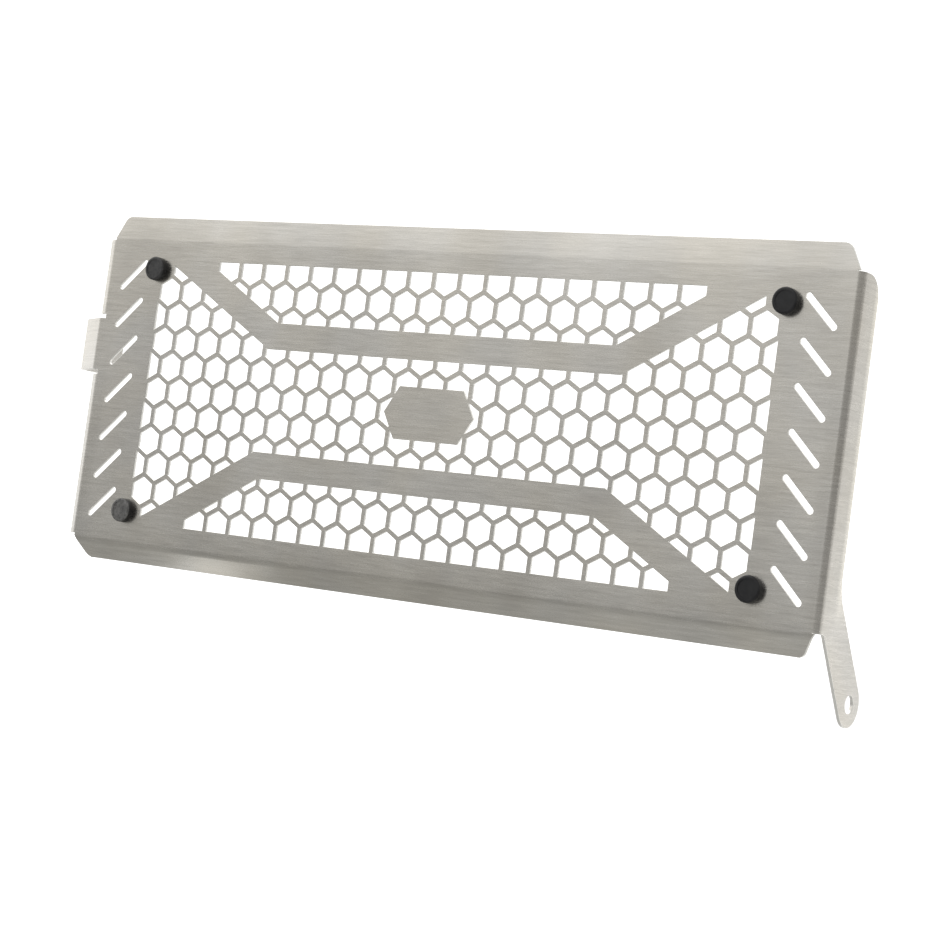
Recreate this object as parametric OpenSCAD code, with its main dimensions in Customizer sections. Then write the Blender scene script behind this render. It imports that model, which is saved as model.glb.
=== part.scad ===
// Motorcycle radiator guard: one folded stainless sheet with a clipped honeycomb
// face, two soft lips, a hook tab at one side and a bolted leg at the other,
// with four rubber bumpers pressed into its corners.
// Front face looks towards -Y, height is +Z, +X is to the right seen from the front.
// The origin is the centre of the bolt hole in the leg.

/* [Sheet] */
// Sheet thickness
sheet_t = 1.2; // [1:0.1:1.6]
// Height of the flat face above and below its middle line
flat_half_h = 63; // [62:0.5:64]
// Distance of the left bend's start from the middle of the face
left_bend_x = 171.5; // [170:0.5:173]
// How much further out the right flange's outer face lies
right_step = 1.9; // [1:0.1:3]
// Inner radius of the side bends
side_bend_r = 1.5; // [1.2:0.1:2.5]

/* [Honeycomb] */
// Distance between neighbouring cells
cell_pitch = 12; // [11.8:0.1:12.1]
// Width of the bars between cells
cell_web = 2; // [1.5:0.1:3]
// Half height of the open band at the middle
band_half_h = 20.7; // [20:0.1:21]
// How far inside the honeycomb's end the middle field starts to widen
band_knee_inset = 61.5; // [60:0.5:63]
// Slope of the bars
bar_slope = 30; // [28:0.5:32]
// Inner edge of the upper and lower fields
field_inner_z = 31.6; // [31:0.1:32.5]
// Plain margin between the face's upper end and the honeycomb
field_margin_z = 8.1; // [7.6:0.1:9]
// How far inside the honeycomb's end the upper and lower fields start to slope
field_knee_inset = 65.1; // [64:0.1:66]
// Plain margin between the left bend's start and the honeycomb
field_margin = 27.8; // [27.7:0.1:28.5]
// Half width of the plain patch in the middle
patch_half_w = 21; // [18:0.5:24]

/* [Side slots] */
// Number of slots at each side
slot_count = 7; // [3:1:7]
// Distance between slots
slot_pitch = 16; // [15:0.1:16.5]
// Distance of the slot row from the left bend's start
slot_inset = 12.6; // [12:0.1:13.5]
// Slot width
slot_w = 2.3; // [2:0.1:3]
// Distance between the slot's end centres
slot_run = 15.2; // [12:0.1:16]
// Slot angle
slot_angle = 44; // [40:1:48]

/* [Lips] */
// Height of the upper lip's edge above the flat face, seen from the front
upper_lip_h = 9.7; // [8:0.1:12]
// How far the upper lip is bent back
upper_lip_angle = 3; // [2:1:12]
// Height of the lower lip below the flat face, seen from the front
lower_lip_h = 8.9; // [8:0.1:12]
// How far the lower lip is bent back
lower_lip_angle = 35; // [25:1:40]
// Inner radius of the lip bends
lip_bend_r = 4; // [3:0.2:5]
// How much wider than the left bend's start a lip is where it leaves the face
lip_step = 0.5; // [0:0.1:1]
// Inward slope of the lip ends in the flat sheet, in degrees from upright
lip_end_slope = 27.5; // [20:0.5:32]
// Radius of the lip corners
lip_corner_r = 4; // [2:0.5:6]
// How much the left lip's ends stay inside the face's ends
left_lip_gap = 0.4; // [0.1:0.1:1]
// How far the left lip and the hook tab are bent back
left_lip_angle = 30; // [26:1:34]
// Flat length of the left lip
left_lip_len = 3.6; // [2.5:0.1:5]

/* [Hook tab] */
// Lower end of the tab
tab_low_z = 7; // [6:0.2:9]
// Height of the tab
tab_h = 22; // [18:0.2:24]
// How far the tab's bend lies outside the left lip's bend
tab_step = 2.3; // [1.5:0.1:3]
// Flat length of the tab's slanted part
tab_slant = 15.8; // [12:0.1:18]
// Depth of the hook's end behind the front face
hook_depth = 33; // [28:0.5:36]
// Corner radius of the hook's end
hook_corner_r = 3; // [1:0.5:5]
// Width of the relief gaps above and below the tab
relief_w = 1.8; // [1.2:0.1:2.4]

/* [Flange and leg] */
// Depth of the right flange behind the front face
flange_depth = 14; // [12:0.1:15]
// How much the flange's upper end stays below the face's end
flange_top_gap = 0.2; // [0.1:0.1:1]
// Radius of the flange's upper corner
flange_corner_r = 8.5; // [5:0.5:9]
// Width of the leg
leg_w = 16.8; // [15:0.1:18]
// Slope of the leg below level
leg_slope = 53; // [50:0.5:54]
// Bolt hole diameter in the leg
leg_hole_d = 6.5; // [6.2:0.1:7]
// Depth of the bolt hole behind the front face
leg_hole_depth = 32.1; // [31:0.1:33]
// Height of the bolt hole below the face's lower end
leg_hole_below = 23; // [21:0.2:26]
// Blend radius at the outer root of the leg
leg_outer_blend = 16; // [10:1:20]
// Blend radius at the inner root of the leg
leg_inner_blend = 1.8; // [1:0.1:1.8]

/* [Bumpers] */
// Distance of the bumpers from the left bend's start, sideways
bumper_inset = 25.8; // [25:0.1:26.5]
// Distance of the bumpers from the face's upper and lower ends
bumper_inset_z = 12.3; // [12:0.1:13]
// Head diameter
bumper_d = 9.8; // [9:0.1:10.6]
// Head height in front of the face
bumper_h = 3.2; // [2.6:0.1:5]
// Rounding of the head's rim
bumper_rim_r = 0.8; // [0.4:0.1:1]
// Neck hole in the sheet
bumper_hole_d = 5; // [4.5:0.1:5.5]
// Clearance between the neck and its hole, on the radius
bumper_clearance = 0.1; // [0.05:0.05:0.2]
// Clearance between the collar and the sheet's back face
bumper_collar_gap = 0.1; // [0.05:0.05:0.3]
// Collar diameter behind the sheet
collar_d = 7; // [6.5:0.1:8]
// Height of the collar behind the sheet
collar_h = 3.4; // [2.5:0.1:4.5]
// Height of the collar's straight band
collar_band = 1; // [0.6:0.1:1.4]
// Diameter of the shallow dish in the head
dish_d = 7.2; // [6:0.2:7.6]
// Depth of the shallow dish in the head
dish_h = 0.2; // [0.1:0.05:0.5]

/* [Hidden] */
steel = [0.72, 0.71, 0.69];
rubber = [0.10, 0.10, 0.11];
cut = 1;                                  // overshoot of every cutting shape
lap = 1;                                  // overlap of neighbouring lengths of the sheet
round_fn = 64;
half_turn = 180;
facet_turn = 5;                           // turn of one facet of a bend, degrees
row_pitch = cell_pitch * sqrt(3) / 2;
cell_circum_r = (cell_pitch - cell_web) / sqrt(3);
field_half_w = left_bend_x - field_margin;
field_outer_z = flat_half_h - field_margin_z;
band_knee_x = field_half_w - band_knee_inset;
field_knee_x = field_half_w - field_knee_inset;
cell_rows = floor((field_outer_z + cell_circum_r) / row_pitch);
cell_side = ceil(field_half_w / cell_pitch);
slot_x = left_bend_x - slot_inset;
lip_half_w = left_bend_x + lip_step;
bumper_x = left_bend_x - bumper_inset;
bumper_z = flat_half_h - bumper_inset_z;
left_lip_half_h = flat_half_h - left_lip_gap;
flange_top_z = flat_half_h - flange_top_gap;
leg_hole_drop = flat_half_h + leg_hole_below;
right_face_x = left_bend_x + right_step;
side_r = side_bend_r + sheet_t;
lip_r = lip_bend_r + sheet_t;
flange_start_x = right_face_x - side_r;
upper_run = (upper_lip_h - lip_r * sin(upper_lip_angle)) / cos(upper_lip_angle);
lower_run = (lower_lip_h - lip_r * sin(lower_lip_angle)) / cos(lower_lip_angle);
big_depth = 60;                           // deeper than any fold
tab_top_z = tab_low_z + tab_h;
tab_bend_x = left_bend_x + tab_step;
hook_turn = 90 - left_lip_angle;
hook_start_d = side_r * (1 - cos(left_lip_angle)) + tab_slant * sin(left_lip_angle)
    + side_r * cos(left_lip_angle);       // depth where the web of the hook starts
leg_r = leg_w / 2;
leg_out = [sin(leg_slope), cos(leg_slope)];
leg_hole = [leg_hole_depth, -leg_hole_drop];
leg_angle = 90 - leg_slope;               // direction of leg_out
inner_drop = leg_hole_below - leg_inner_blend;
inner_pin = [leg_hole_depth - (leg_r + leg_inner_blend + inner_drop * leg_out[1]) / leg_out[0],
             -flat_half_h - leg_inner_blend];
outer_pin_d = flange_depth + leg_outer_blend;
outer_pin = [outer_pin_d, (leg_r + leg_outer_blend - (outer_pin_d - leg_hole_depth) * leg_out[0])
             / leg_out[1] - leg_hole_drop];
bolt_x = right_face_x - sheet_t / 2;
neck_r = bumper_hole_d / 2 - bumper_clearance;

// Points of an arc, about one to every six degrees
function arc(centre, r, from, to) =
    let (n = ceil(abs(to - from) / 6))
        [for (k = [0 : n]) let (a = from + (to - from) * k / n) centre + r * [cos(a), sin(a)]];

// Angle of a lip's ends seen from the front, once the lip is bent back
function end_angle(angle) = atan(tan(lip_end_slope) / cos(angle));

// Half height of the middle field at a distance from the middle
function band_at(x) = band_half_h + max(0, x - band_knee_x) * tan(bar_slope);

// Moves a part from the middle of the face to the bolt hole's frame
module in_place() {
    translate([-bolt_x, -leg_hole_depth, leg_hole_drop]) children();
}

// Stands a front view outline up and gives it depth, front face at y = 0
module stand(depth) {
    translate([0, depth, 0]) rotate([90, 0, 0]) linear_extrude(depth) children();
}

// Middle field: straight at the centre, opening towards the sides
module middle_field() {
    edge_h = band_at(field_half_w);
    polygon([
        [-field_half_w, -edge_h], [-band_knee_x, -band_half_h], [band_knee_x, -band_half_h],
        [field_half_w, -edge_h], [field_half_w, edge_h], [band_knee_x, band_half_h],
        [-band_knee_x, band_half_h], [-field_half_w, edge_h]
    ]);
}

// Half width of the upper field along its outer edge
function outer_edge_half() = field_knee_x + (field_outer_z - field_inner_z) / tan(bar_slope);

// Upper field; the lower one is its mirror image
module upper_field() {
    outer_half = outer_edge_half();
    polygon([
        [-field_knee_x, field_inner_z], [field_knee_x, field_inner_z],
        [outer_half, field_outer_z], [-outer_half, field_outer_z]
    ]);
}

// Plain patch in the middle of the face
module patch() {
    slope_w = row_pitch / tan(60);
    polygon([
        [-patch_half_w, 0], [slope_w - patch_half_w, row_pitch],
        [patch_half_w - slope_w, row_pitch], [patch_half_w, 0],
        [patch_half_w - slope_w, -row_pitch], [slope_w - patch_half_w, -row_pitch]
    ]);
}

// One cell, points up and down
module cell() {
    rotate(30) circle(r = cell_circum_r, $fn = 6);
}

// Lattice of cells; its outermost rows stop within a half width
module lattice(outer_row_half) {
    for (row = [-cell_rows : cell_rows])
        let (shift = row % 2 == 0 ? 0.5 : 0,
             reach = abs(row) == cell_rows ? floor(outer_row_half / cell_pitch) : cell_side)
            for (col = [-reach : reach - shift * 2])
                translate([(col + shift) * cell_pitch, row * row_pitch]) cell();
}

module honeycomb() {
    difference() {
        intersection() { lattice(field_half_w); middle_field(); }
        patch();
    }
    for (side = [0, 1]) mirror([0, side])
        intersection() { lattice(outer_edge_half()); upper_field(); }
}

// Slot with round ends
module slot() {
    rotate(slot_angle) {
        square([slot_run, slot_w], center = true);
        for (end = [-1, 1]) translate([end * slot_run / 2, 0]) circle(d = slot_w, $fn = 32);
    }
}

module side_slots() {
    for (side = [0, 1]) mirror([side, 0])
        for (i = [0 : slot_count - 1])
            translate([-slot_x, (i - (slot_count - 1) / 2) * slot_pitch]) slot();
}

module bumper_spots() {
    for (sx = [-1, 1]) for (sz = [-1, 1]) translate([sx * bumper_x, sz * bumper_z]) children();
}

// Flat face with all its openings
module face() {
    difference() {
        translate([-left_bend_x, -flat_half_h])
            square([left_bend_x + flange_start_x, flat_half_h * 2]);
        honeycomb();
        side_slots();
        bumper_spots() circle(d = bumper_hole_d, $fn = round_fn);
    }
}

// Outline of the upper lip as seen from the front, from inside the face up to its edge
module lip_outline(height, angle) {
    lean = end_angle(angle);
    root = left_bend_x - lap;
    // centre of the corner circle, touching the edge and the leaning end
    corner_h = height - lip_corner_r;
    corner_x = lip_half_w - tan(lean) * corner_h - lip_corner_r / cos(lean);
    corner_z = flat_half_h + corner_h;
    polygon(concat(
        [[-lip_half_w, flat_half_h], [-root, flat_half_h], [-root, flat_half_h - lap],
         [root, flat_half_h - lap], [root, flat_half_h], [lip_half_w, flat_half_h]],
        arc([corner_x, corner_z], lip_corner_r, lean, 90),
        arc([-corner_x, corner_z], lip_corner_r, 90, half_turn - lean)
    ));
}

// One face of a folded strip that sets out from at, at a heading, and bends to the left.
// A step is the outer radius of a bend, its angle and the straight run after it; off is
// the distance from the outer face.
function fold_side(steps, off, at = [0, 0], heading = 0, i = 0) =
    i == len(steps)
        ? [at + off * [-sin(heading), cos(heading)]]
        : let (r = steps[i][0], turn = steps[i][1], run = steps[i][2], n = ceil(turn / facet_turn),
               pin = at + r * [-sin(heading), cos(heading)], last = heading + turn)
            concat(
                [at + off * [-sin(heading), cos(heading)]],
                [for (k = [1 : n]) let (a = heading + turn * k / n)
                    pin + (r - off) * [sin(a), -cos(a)]],
                fold_side(steps, off, pin + r * [sin(last), -cos(last)]
                    + run * [cos(last), sin(last)], last, i + 1)
            );

// Section of a folded strip that starts with a flat length inside the face: its outer
// face, then its inner face back to the start
module fold(steps, lead = lap) {
    inner = fold_side(steps, sheet_t);
    polygon(concat([[-lead, 0]], fold_side(steps, 0),
        [for (k = [len(inner) - 1 : -1 : 0]) inner[k]], [[-lead, sheet_t]]));
}

// Upper lip: the fold runs along X and is trimmed to the front outline
module lip(height, angle, run) {
    width = (lip_half_w + cut) * 2;
    intersection() {
        translate([width / 2, 0, flat_half_h]) rotate([0, -90, 0])
            linear_extrude(width) fold([[lip_r, angle, run]]);
        translate([0, -cut, 0]) stand(big_depth) lip_outline(height, angle);
    }
}

// Left lip in two lengths, above and below the tab
module left_lip() {
    for (span = [[-left_lip_half_h, tab_low_z - relief_w],
                 [tab_top_z + relief_w, left_lip_half_h]])
        translate([-left_bend_x, 0, span[0]]) mirror([1, 0, 0])
            linear_extrude(span[1] - span[0]) fold([[side_r, left_lip_angle, left_lip_len]]);
}

// Hook tab: slanted run, then a second bend to a web that points straight back
module hook_tab() {
    web_len = hook_depth - hook_start_d;
    lead = tab_step + lap;
    intersection() {
        translate([-tab_bend_x, 0, tab_low_z]) mirror([1, 0, 0]) linear_extrude(tab_h)
            fold([[side_r, left_lip_angle, tab_slant], [side_r, hook_turn, web_len]], lead);
        translate([-tab_bend_x - big_depth, 0, tab_low_z]) rotate([90, 0, 90])
            linear_extrude(big_depth + lead) hook_outline();
    }
}

// Side view of the hook tab, rounded at its free corners: depth, then height
module hook_outline() {
    pin_d = hook_depth - hook_corner_r;
    polygon(concat(
        [[-cut, tab_h], [-cut, 0]],
        arc([pin_d, hook_corner_r], hook_corner_r, -90, 0),
        arc([pin_d, tab_h - hook_corner_r], hook_corner_r, 0, 90)
    ));
}

// Side view of the flange and leg behind the bend: depth, then height
module flange_outline() {
    corner = [flange_depth - flange_corner_r, flange_top_z - flange_corner_r];
    difference() {
        polygon(concat(
            [[side_r, -flat_half_h]],
            arc(inner_pin, leg_inner_blend, 90, leg_angle),
            arc(leg_hole, leg_r, leg_angle - half_turn, leg_angle),
            arc(outer_pin, leg_outer_blend, leg_angle + half_turn, half_turn),
            arc(corner, flange_corner_r, 0, 90),
            [[side_r, flange_top_z]]
        ));
        translate(leg_hole) circle(d = leg_hole_d, $fn = round_fn);
    }
}

module right_flange() {
    // bend from the face to the flange
    translate([flange_start_x, 0, -flat_half_h]) linear_extrude(flat_half_h + flange_top_z)
        fold([[side_r, 90, lap]]);
    translate([right_face_x - sheet_t, 0, 0]) rotate([90, 0, 90])
        linear_extrude(sheet_t) flange_outline();
}

module guard_sheet() {
    color(steel) in_place() {
        stand(sheet_t) face();
        lip(upper_lip_h, upper_lip_angle, upper_run);
        mirror([0, 0, 1]) lip(lower_lip_h, lower_lip_angle, lower_run);
        left_lip();
        hook_tab();
        right_flange();
    }
}

// Rubber bumper pressed in from the front, axis along y, sheet's front face at y = 0
module bumper(x, z) {
    head_r = bumper_d / 2;
    collar_start = sheet_t + bumper_collar_gap;
    collar_r = collar_d / 2;
    color(rubber) in_place() translate([x, 0, z]) rotate([-90, 0, 0]) rotate_extrude($fn = round_fn) {
        difference() {
            union() {
                translate([0, -bumper_h]) square([head_r - bumper_rim_r, bumper_h]);
                translate([0, bumper_rim_r - bumper_h])
                    square([head_r, bumper_h - bumper_rim_r]);
                translate([head_r - bumper_rim_r, bumper_rim_r - bumper_h])
                    circle(r = bumper_rim_r, $fn = 32);
                translate([0, -lap]) square([neck_r, collar_start + lap * 2]);
                // collar that tapers to a blunt nose
                polygon([
                    [0, collar_start], [collar_r, collar_start],
                    [collar_r, collar_start + collar_band],
                    [neck_r, collar_start + collar_h], [0, collar_start + collar_h]
                ]);
            }
            // shallow dish in the head's face
            translate([0, -bumper_h - cut]) square([dish_d / 2, cut + dish_h]);
        }
    }
}

module bumper_upper_left() { bumper(-bumper_x, bumper_z); }
module bumper_upper_right() { bumper(bumper_x, bumper_z); }
module bumper_lower_left() { bumper(-bumper_x, -bumper_z); }
module bumper_lower_right() { bumper(bumper_x, -bumper_z); }

guard_sheet();
bumper_upper_left();
bumper_upper_right();
bumper_lower_left();
bumper_lower_right();
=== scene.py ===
import math

import bmesh
import bpy
from mathutils import Matrix, Vector

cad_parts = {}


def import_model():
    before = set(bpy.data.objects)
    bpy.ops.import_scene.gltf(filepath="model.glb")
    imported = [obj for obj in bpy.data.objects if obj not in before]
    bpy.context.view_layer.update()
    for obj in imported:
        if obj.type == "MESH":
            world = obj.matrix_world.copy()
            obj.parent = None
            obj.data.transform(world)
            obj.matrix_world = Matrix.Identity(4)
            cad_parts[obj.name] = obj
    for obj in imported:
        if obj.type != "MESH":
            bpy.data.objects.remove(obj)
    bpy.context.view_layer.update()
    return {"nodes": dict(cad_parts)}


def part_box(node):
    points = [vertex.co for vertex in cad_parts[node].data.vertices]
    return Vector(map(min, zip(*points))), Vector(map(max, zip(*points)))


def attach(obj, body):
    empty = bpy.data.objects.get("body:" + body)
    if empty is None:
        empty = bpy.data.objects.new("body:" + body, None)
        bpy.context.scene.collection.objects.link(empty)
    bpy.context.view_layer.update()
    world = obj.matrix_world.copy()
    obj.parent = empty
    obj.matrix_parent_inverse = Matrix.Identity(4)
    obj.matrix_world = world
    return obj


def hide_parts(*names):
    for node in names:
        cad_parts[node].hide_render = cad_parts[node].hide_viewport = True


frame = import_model()

# Places on the guard, in metres in the frame of the leg's bolt hole
SHEET_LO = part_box("guard_sheet")[0]
FACE_CENTRE = Vector((-0.1728, SHEET_LO.y, 0.086))
HEAD_FACE_Y = (-0.0350, -0.0345)     # the paler colour fades out behind the bumpers' front faces
FLANGE_START_X = (-0.0020, -0.0008)  # the painted sheen fades in past the flange's bend
LEG_TOP_Z = (0.022, 0.045)           # and above the leg
FLANGE_RUN_Y = (-0.030, -0.0181)     # from the flange's bend to its free edge

# Camera, as the photograph was taken. Its lens and sensor are in millimetres
CAMERA_FROM_CENTRE = Vector((0.5262, -0.7507, -0.0626))
CAMERA_HEADING = Vector((-0.55547, 0.83021, 0.04695))
CAMERA_ROLL = math.radians(7.72)
CAMERA_LENS = 91.55
CAMERA_SENSOR = 36.0
CAMERA_CLIP = (0.05, 50)

# Floor, in metres and linear colours. It lies too far below the guard to show a shadow
FLOOR_Z = SHEET_LO.z - 0.5
FLOOR_SIZE = 80.0
FLOOR_BACK_FADE_Y = (0.2, 1.2)
# The floor's grey front is painted shade for the lower lip to reflect: lighter to the right, darker
# far away
FLOOR_RIGHT_FADE_X = (-0.55, -0.32)
FLOOR_FAR = (0.5, 1.5)
FLOOR_FAR_SHADE_LEVEL = 0.8
FLOOR_SHADE_FRONT = (0.35, 0.35, 0.342)
FLOOR_SHADE_FRONT_RIGHT = (0.43, 0.43, 0.422)
FLOOR_BACK = (0.95, 0.95, 0.95)
FLOOR_ROUGHNESS = 0.9
FLOOR_SPECULAR = 0.1

# Brushing: features a metre along and across it, then the noise's detail and roughness
FINE_STROKES = (130, 4200, 3.0, 0.55)
COARSE_STROKES = (60, 900, 4.0, 0.6)
SOFT_PATCHES = (22, 9, 2.0, 0.55)

# Even patterns: features a metre, then the noise's detail and roughness
WARM_CLOUDS = (26, 2.0, 0.55)
EDGE_LINES = (2400, 2.0, 0.55)
RUBBER_SPECKS = (2600, 3.0, 0.6)
RUBBER_CLOUDS = (420, 3.0, 0.55)
# blotches in the paler colour on the bumpers' front faces
RUBBER_BLOTCHES = (900, 4.0, 0.65)

# Tones: places on a pattern from 0 to 1, with their linear colours
PLAIN = (1.0, 1.0, 1.0)
STEEL_TONES = [(0.32, (0.52, 0.502, 0.463)), (0.68, (0.63, 0.609, 0.565))]
STROKE_TONES = [(0.35, (0.40, 0.392, 0.375)), (0.65, (0.72, 0.71, 0.68))]
WARM_TONES = [(0.4, PLAIN), (0.62, (1.0, 0.985, 0.955))]
PATCH_TONES = [(0.35, (0.93, 0.93, 0.93)), (0.65, (1.07, 1.07, 1.07))]
# The right flange's colours below are painted sheen, paler towards a bright rim at its free edge
FLANGE_SHEEN_TONES = [(0.0, (0.90, 0.89, 0.875)), (0.70, (0.93, 0.925, 0.905)), (1.0, (1.45, 1.43, 1.38))]
EDGE_TONES = [(0.35, (0.74, 0.725, 0.685)), (0.65, (0.90, 0.885, 0.845))]
RUBBER_TONES = [(0.35, (0.004, 0.004, 0.005)), (0.65, (0.012, 0.012, 0.013))]
# the paler colour on the bumpers' front faces
RUBBER_PALE_FACE = (0.20, 0.197, 0.19)

# Finishes: each roughness is a range, and each relief is a strength and a depth in metres
STROKE_SHARE = 0.15
FINE_SHARE = 0.6
STEEL_ROUGHNESS = (0.21, 0.32)
STEEL_ANISOTROPY = 0.5
STEEL_RELIEF = (0.07, 0.0002)
EDGE_ROUGHNESS = (0.3, 0.45)
EDGE_RELIEF = (0.15, 0.0001)
BLOTCH_REACH = (-0.6, 2.6)
RUBBER_ROUGHNESS = (0.34, 0.52)
RUBBER_SPECULAR = 0.4
RUBBER_RELIEF = (0.25, 0.0001)

# Share of a paler colour on each bumper's front face
BUMPER_FACE_PALING = {"bumper_upper_left": 0.18, "bumper_upper_right": 0.0,
               "bumper_lower_left": 0.62, "bumper_lower_right": 0.0}

# Easing of the sheet's edges, with lengths in metres
EDGE_EASE = 0.0002
EASE_SEGMENTS = 2
ROUND_PROFILE = 0.5
SHEET_SIDES = 2                      # its front and its back, the two largest surfaces
SHARP = math.radians(32)             # the surface turns further than this at a rim
FOLD_STEP = math.radians(10)         # and less than this at each step of a bend
FLAT = math.radians(0.1)             # faces that turn less than this are joined
WEDGE = math.radians(20)             # rims that meet at a smaller angle stay sharp
SHORT_EDGE = 7e-5                    # points that lie closer are merged
NO_LENGTH = 1e-6

# Light that shows in the lower lip: the spot it is seen in, and its direction from there
LIP_LIGHT_SPOT = Vector((-0.2685, -0.0288, 0.0174))
LIP_LIGHT_WAY = Vector((-0.640, -0.257, -0.724))
LIP_LIGHT_AWAY = 0.2
LIP_LIGHT_SIZE = 0.03
LIP_LIGHT_POWER = 0.0040

# Studio dome: brightness by the direction round the room, in degrees from +X, and by height,
# the upward part of the direction
LEVEL_TOP = 2.8
TURNS = (-180, 180)
HEIGHTS = (-0.5, 1.0)
ROOM_LEVELS = [(-180, 1.2), (-162, 1.12), (-148, 0.72), (-133, 0.60), (-113, 0.74), (-98, 0.50),
               (-80, 0.34), (-20, 0.34), (10, 0.40), (42, 0.85), (62, 0.98), (80, 1.6), (125, 1.6),
               (150, 1.4), (168, 1.2), (180, 1.2)]
FRONT_HEIGHTS = [(-0.5, 0.5), (0.0, 0.66), (0.045, 0.69), (0.09, 0.55), (0.14, 0.97), (0.24, 2.5),
                 (0.5, 2.2), (1.0, 2.0)]
BACK_HEIGHTS = [(0.0, 1.0), (0.4, 1.0), (0.7, 1.5), (1.0, 1.6)]
BACK_RIGHT_HEIGHTS = [(-0.5, 0.35), (-0.02, 0.45), (0.03, 1.08), (0.08, 0.9), (0.16, 0.85),
                      (0.4, 0.6), (1.0, 1.6)]

# Directions in which the front's and the back right's heights count: not at 0, fully at LEVEL_TOP
FRONT_TURNS = [(-180, 0), (-150, LEVEL_TOP), (0, LEVEL_TOP), (35, 0), (180, 0)]
BACK_RIGHT_TURNS = [(0, 0), (30, LEVEL_TOP), (88, LEVEL_TOP), (104, 0), (180, 0)]


def new_material(name):
    """A new material, with its node tree and a shader joined to its output."""
    material = bpy.data.materials.new(name)
    material.use_nodes = True
    tree = material.node_tree
    tree.nodes.clear()
    shader = tree.nodes.new("ShaderNodeBsdfPrincipled")
    out = tree.nodes.new("ShaderNodeOutputMaterial")
    tree.links.new(shader.outputs["BSDF"], out.inputs["Surface"])
    return material, tree, shader


def object_place(tree):
    return tree.nodes.new("ShaderNodeTexCoord").outputs["Object"]


def split_xyz(tree, vector):
    node = tree.nodes.new("ShaderNodeSeparateXYZ")
    tree.links.new(vector, node.inputs[0])
    return node.outputs


def math_node(tree, operation, a, b):
    node = tree.nodes.new("ShaderNodeMath")
    node.operation = operation
    for socket, value in zip(node.inputs, (a, b)):
        if isinstance(value, (int, float)):
            socket.default_value = value
        else:
            tree.links.new(value, socket)
    return node.outputs[0]


def map_range(tree, value, source=(0.0, 1.0), target=(0.0, 1.0), kind="LINEAR"):
    node = tree.nodes.new("ShaderNodeMapRange")
    node.interpolation_type = kind
    tree.links.new(value, node.inputs["Value"])
    for name, number in zip(("From Min", "From Max", "To Min", "To Max"), (*source, *target)):
        node.inputs[name].default_value = number
    return node.outputs["Result"]


def noise(tree, vector, pattern):
    node = tree.nodes.new("ShaderNodeTexNoise")
    for name, number in zip(("Scale", "Detail", "Roughness"), pattern):
        node.inputs[name].default_value = number
    tree.links.new(vector, node.inputs["Vector"])
    return node.outputs["Fac"]


def ramp(tree, fac, stops):
    node = tree.nodes.new("ShaderNodeValToRGB")
    line = node.color_ramp
    while len(line.elements) < len(stops):
        line.elements.new(0.5)
    for element, (at, colour) in zip(line.elements, stops):
        element.position = at
        element.color = (*colour, 1)
    tree.links.new(fac, node.inputs["Fac"])
    return node.outputs["Color"]


def mix_colour(tree, fac, a, b, kind="MIX"):
    node = tree.nodes.new("ShaderNodeMix")
    node.data_type = "RGBA"
    node.blend_type = kind
    for name, value in (("Factor", fac), ("A", a), ("B", b)):
        socket = next(s for s in node.inputs if s.name == name and s.enabled)
        if isinstance(value, (int, float)):
            socket.default_value = value
        elif isinstance(value, tuple):
            socket.default_value = (*value, 1)
        else:
            tree.links.new(value, socket)
    return next(s for s in node.outputs if s.enabled)


def multiply(tree, a, b):
    return mix_colour(tree, 1.0, a, b, "MULTIPLY")


def add_bump(tree, shader, height, relief):
    bump = tree.nodes.new("ShaderNodeBump")
    for name, number in zip(("Strength", "Distance"), relief):
        bump.inputs[name].default_value = number
    tree.links.new(height, bump.inputs["Height"])
    tree.links.new(bump.outputs[0], shader.inputs["Normal"])


def brushing(tree, pattern):
    """Noise drawn out along the brushing, which runs with X and round the bends."""
    along, across, detail, roughness = pattern
    x, y, z = split_xyz(tree, object_place(tree))
    run = math_node(tree, "ADD", x, y)
    join = tree.nodes.new("ShaderNodeCombineXYZ")
    tree.links.new(math_node(tree, "MULTIPLY", run, along), join.inputs[0])
    tree.links.new(math_node(tree, "MULTIPLY", z, across), join.inputs[1])
    return noise(tree, join.outputs[0], (1.0, detail, roughness))


def across_grain(tree):
    """Tangent across the brushing, so that reflections smear up and down the sheet."""
    up = tree.nodes.new("ShaderNodeCombineXYZ")
    up.inputs[2].default_value = 1.0
    return up.outputs[0]


def painted_flange_sheen(tree):
    """Painted sheen on the right flange: its colour grows paler towards its free edge, as a bright
    rim.
    """
    x, y, z = split_xyz(tree, object_place(tree))
    past_bend = map_range(tree, x, FLANGE_START_X, kind="SMOOTHSTEP")
    above_leg = map_range(tree, z, LEG_TOP_Z, kind="SMOOTHSTEP")
    on_flange = math_node(tree, "MULTIPLY", past_bend, above_leg)
    tone = ramp(tree, map_range(tree, y, FLANGE_RUN_Y), FLANGE_SHEEN_TONES)
    return mix_colour(tree, on_flange, PLAIN, tone)


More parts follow.
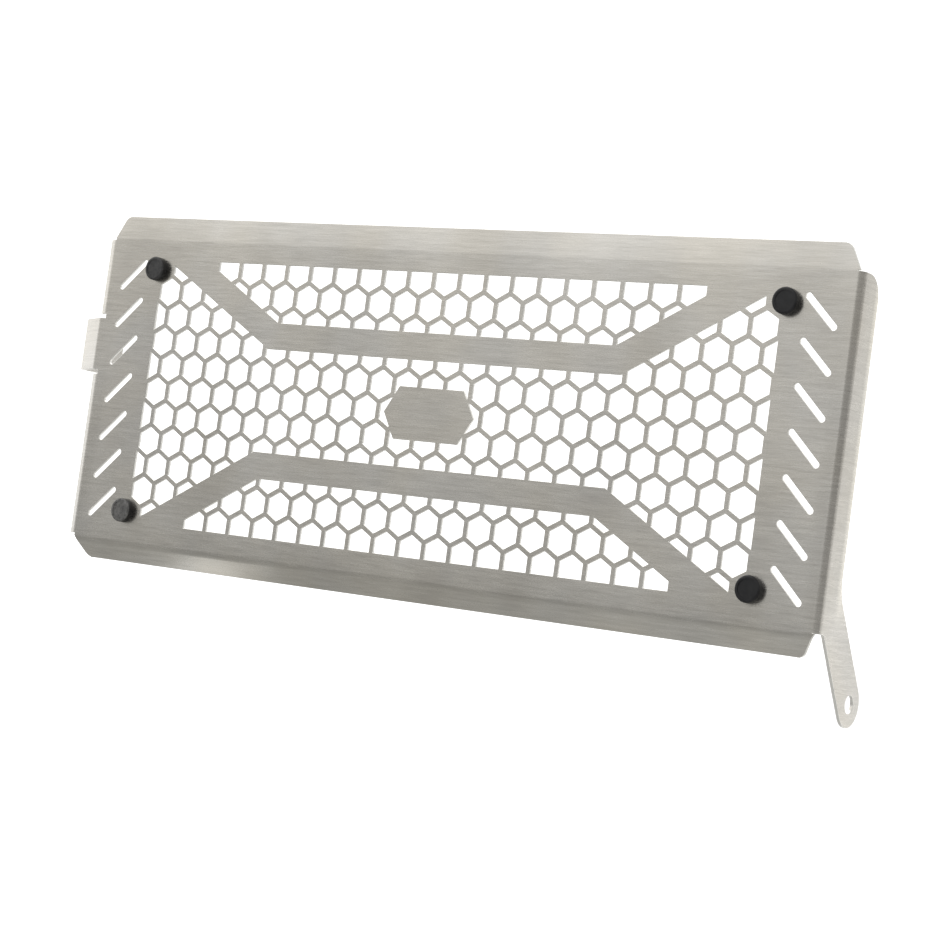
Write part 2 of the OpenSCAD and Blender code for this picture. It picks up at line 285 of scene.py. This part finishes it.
def brushed_steel():
    """Stainless sheet with fine strokes over coarse ones, warm clouds and soft patches."""
    material, tree, shader = new_material("brushed_steel_sheet")
    fine = brushing(tree, FINE_STROKES)
    coarse = brushing(tree, COARSE_STROKES)
    base = ramp(tree, coarse, STEEL_TONES)
    base = mix_colour(tree, STROKE_SHARE, base, ramp(tree, fine, STROKE_TONES))
    clouds = noise(tree, object_place(tree), WARM_CLOUDS)
    base = multiply(tree, base, ramp(tree, clouds, WARM_TONES))
    base = multiply(tree, base, ramp(tree, brushing(tree, SOFT_PATCHES), PATCH_TONES))
    # painted sheen on the right flange, brightest at its free edge
    base = multiply(tree, base, painted_flange_sheen(tree))
    tree.links.new(base, shader.inputs["Base Color"])
    shader.inputs["Metallic"].default_value = 1.0
    strokes = math_node(tree, "ADD", math_node(tree, "MULTIPLY", fine, FINE_SHARE),
                        math_node(tree, "MULTIPLY", coarse, 1 - FINE_SHARE))
    rough = map_range(tree, strokes, target=STEEL_ROUGHNESS)
    tree.links.new(rough, shader.inputs["Roughness"])
    shader.inputs["Anisotropic"].default_value = STEEL_ANISOTROPY
    tree.links.new(across_grain(tree), shader.inputs["Tangent"])
    add_bump(tree, shader, fine, STEEL_RELIEF)
    return material


def cut_edge():
    """Laser cut and deburred edges: paler, with fine lines through the thickness."""
    material, tree, shader = new_material("cut_edge_steel")
    lines = noise(tree, object_place(tree), EDGE_LINES)
    tree.links.new(ramp(tree, lines, EDGE_TONES), shader.inputs["Base Color"])
    shader.inputs["Metallic"].default_value = 1.0
    tree.links.new(map_range(tree, lines, target=EDGE_ROUGHNESS), shader.inputs["Roughness"])
    add_bump(tree, shader, lines, EDGE_RELIEF)
    return material


def moulded_rubber(name, pale_share):
    """Black rubber with a share of a paler, blotchy colour on the head's front face."""
    material, tree, shader = new_material(name)
    place = object_place(tree)
    base = ramp(tree, noise(tree, place, RUBBER_CLOUDS), RUBBER_TONES)
    y = split_xyz(tree, place)["Y"]
    on_face = map_range(tree, y, HEAD_FACE_Y, (pale_share, 0.0), "SMOOTHSTEP")
    blotches = map_range(tree, noise(tree, place, RUBBER_BLOTCHES), target=BLOTCH_REACH)
    share = math_node(tree, "MULTIPLY", on_face, blotches)
    tree.links.new(mix_colour(tree, share, base, RUBBER_PALE_FACE), shader.inputs["Base Color"])
    specks = noise(tree, place, RUBBER_SPECKS)
    tree.links.new(map_range(tree, specks, target=RUBBER_ROUGHNESS), shader.inputs["Roughness"])
    shader.inputs["Specular IOR Level"].default_value = RUBBER_SPECULAR
    add_bump(tree, shader, specks, RUBBER_RELIEF)
    return material


def surface_islands(mesh):
    """Faces grouped by where the surface runs on without a sharp edge."""
    island = {}
    for start in mesh.faces:
        if start.index in island:
            continue
        number = start.index
        island[number] = number
        todo = [start]
        while todo:
            face = todo.pop()
            for edge in face.edges:
                for other in edge.link_faces:
                    if other.index not in island and face.normal.angle(other.normal, 0) < SHARP:
                        island[other.index] = number
                        todo.append(other)
    return island


def in_wedge(edge, rims):
    """Whether another rim leaves one of the edge's ends in nearly the same direction."""
    for vert in edge.verts:
        way = edge.other_vert(vert).co - vert.co
        for other in vert.link_edges:
            if other is not edge and other in rims:
                if way.angle(other.other_vert(vert).co - vert.co) < WEDGE:
                    return True
    return False


def eased_copy(name, node, materials):
    """Copy of a sheet's CAD node with real rounded edges. Its two sides keep the first
    material, and its cut edges get the second."""
    mesh = bmesh.new()
    mesh.from_mesh(frame["nodes"][node].data)
    bmesh.ops.remove_doubles(mesh, verts=mesh.verts, dist=SHORT_EDGE)
    bmesh.ops.dissolve_degenerate(mesh, edges=mesh.edges, dist=NO_LENGTH)
    mesh.normal_update()
    mesh.faces.index_update()
    island = surface_islands(mesh)
    area = {}
    for face in mesh.faces:
        number = island[face.index]
        area[number] = area.get(number, 0) + face.calc_area()
    sides = sorted(area, key=area.get)[-SHEET_SIDES:]
    for face in mesh.faces:
        face.smooth = True
        face.material_index = int(island[face.index] not in sides)
    bmesh.ops.dissolve_limit(mesh, angle_limit=FLAT, verts=mesh.verts, edges=mesh.edges)
    rims = {edge for edge in mesh.edges if edge.calc_face_angle(0) > SHARP}
    rims = [edge for edge in mesh.edges if edge in rims and not in_wedge(edge, rims)]
    bmesh.ops.bevel(mesh, geom=rims, offset=EDGE_EASE, offset_type="OFFSET",
                    segments=EASE_SEGMENTS, profile=ROUND_PROFILE, affect="EDGES",
                    clamp_overlap=False, loop_slide=False, material=len(materials) - 1)
    mesh.normal_update()
    for edge in mesh.edges:
        edge.smooth = edge.calc_face_angle(0) < FOLD_STEP
    data = bpy.data.meshes.new(name)
    mesh.to_mesh(data)
    mesh.free()
    for material in materials:
        data.materials.append(material)
    piece = bpy.data.objects.new(name, data)
    bpy.context.scene.collection.objects.link(piece)
    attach(piece, "root")
    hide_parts(node)
    return piece


def floor():
    """Pale floor, bright behind the guard, with painted shade in front that is greyer to the left
    and far from it.
    """
    bpy.ops.mesh.primitive_plane_add(size=FLOOR_SIZE, location=(FACE_CENTRE.x, 0, FLOOR_Z))
    plane = bpy.context.object
    plane.name = "studio_floor"
    material, tree, shader = new_material("floor_painted_shade")
    place = object_place(tree)
    axes = split_xyz(tree, place)
    to_right = [at - FACE_CENTRE.x for at in FLOOR_RIGHT_FADE_X]
    side = map_range(tree, axes["X"], to_right, kind="SMOOTHSTEP")
    away = tree.nodes.new("ShaderNodeVectorMath")
    away.operation = "LENGTH"
    tree.links.new(place, away.inputs[0])
    # painted shade in front of the guard: greyer to the left and far away
    far = map_range(tree, away.outputs["Value"], FLOOR_FAR, (1.0, FLOOR_FAR_SHADE_LEVEL), "SMOOTHSTEP")
    front = multiply(tree, mix_colour(tree, side, FLOOR_SHADE_FRONT, FLOOR_SHADE_FRONT_RIGHT), far)
    behind = map_range(tree, axes["Y"], FLOOR_BACK_FADE_Y, kind="SMOOTHSTEP")
    tree.links.new(mix_colour(tree, behind, front, FLOOR_BACK), shader.inputs["Base Color"])
    shader.inputs["Roughness"].default_value = FLOOR_ROUGHNESS
    shader.inputs["Specular IOR Level"].default_value = FLOOR_SPECULAR
    plane.data.materials.append(material)


def level_ramp(tree, value, stops, reach):
    """Smooth grey, as a share of LEVEL_TOP, over a value's reach; stops are (value, level)."""
    lo, hi = reach
    grey = [((at - lo) / (hi - lo), (level / LEVEL_TOP,) * 3) for at, level in stops]
    colour = ramp(tree, map_range(tree, value, reach), grey)
    colour.node.color_ramp.interpolation = "B_SPLINE"
    return colour


def world():
    """Soft studio dome: its level changes with the direction round the room and with height."""
    sky = bpy.data.worlds.new("studio")
    bpy.context.scene.world = sky
    sky.use_nodes = True
    tree = sky.node_tree
    x, y, z = split_xyz(tree, tree.nodes.new("ShaderNodeTexCoord").outputs["Generated"])
    turn = math_node(tree, "MULTIPLY", math_node(tree, "ARCTAN2", y, x), 180 / math.pi)
    height = mix_colour(tree, level_ramp(tree, turn, FRONT_TURNS, TURNS),
                        level_ramp(tree, z, BACK_HEIGHTS, HEIGHTS),
                        level_ramp(tree, z, FRONT_HEIGHTS, HEIGHTS))
    height = mix_colour(tree, level_ramp(tree, turn, BACK_RIGHT_TURNS, TURNS), height,
                        level_ramp(tree, z, BACK_RIGHT_HEIGHTS, HEIGHTS))
    level = multiply(tree, level_ramp(tree, turn, ROOM_LEVELS, TURNS), height)
    back = tree.nodes["Background"]
    tree.links.new(level, back.inputs["Color"])
    back.inputs["Strength"].default_value = LEVEL_TOP * LEVEL_TOP


def lip_light():
    """Small soft light below the left end of the guard, seen as a bright spot in the lower lip."""
    data = bpy.data.lights.new("lip_light", "AREA")
    data.size = LIP_LIGHT_SIZE
    data.energy = LIP_LIGHT_POWER
    lamp = bpy.data.objects.new("lip_light", data)
    bpy.context.scene.collection.objects.link(lamp)
    towards = LIP_LIGHT_WAY.normalized()
    lamp.matrix_world = (Matrix.Translation(LIP_LIGHT_SPOT + towards * LIP_LIGHT_AWAY)
                         @ towards.to_track_quat("Z", "Y").to_matrix().to_4x4())
    lamp.visible_camera = False


def camera():
    data = bpy.data.cameras.new("camera")
    data.lens = CAMERA_LENS
    data.sensor_width = CAMERA_SENSOR
    data.clip_start, data.clip_end = CAMERA_CLIP
    cam = bpy.data.objects.new("camera", data)
    bpy.context.scene.collection.objects.link(cam)
    ahead = CAMERA_HEADING.normalized()
    right = ahead.cross(Vector((0, 0, 1))).normalized()
    up = right.cross(ahead)
    rolled_right = right * math.cos(CAMERA_ROLL) + up * math.sin(CAMERA_ROLL)
    rolled_up = up * math.cos(CAMERA_ROLL) - right * math.sin(CAMERA_ROLL)
    turn = Matrix((rolled_right, rolled_up, -ahead)).transposed()
    cam.matrix_world = Matrix.Translation(FACE_CENTRE + CAMERA_FROM_CENTRE) @ turn.to_4x4()
    bpy.context.scene.camera = cam


camera()
world()
floor()
lip_light()
sheet = eased_copy("sheet_eased", "guard_sheet", [brushed_steel(), cut_edge()])
for name, pale_share in BUMPER_FACE_PALING.items():
    for slot in frame["nodes"][name].material_slots:
        slot.material = moulded_rubber(f"moulded_rubber_{name}", pale_share)

scene = bpy.context.scene
scene.view_settings.view_transform = "Standard"
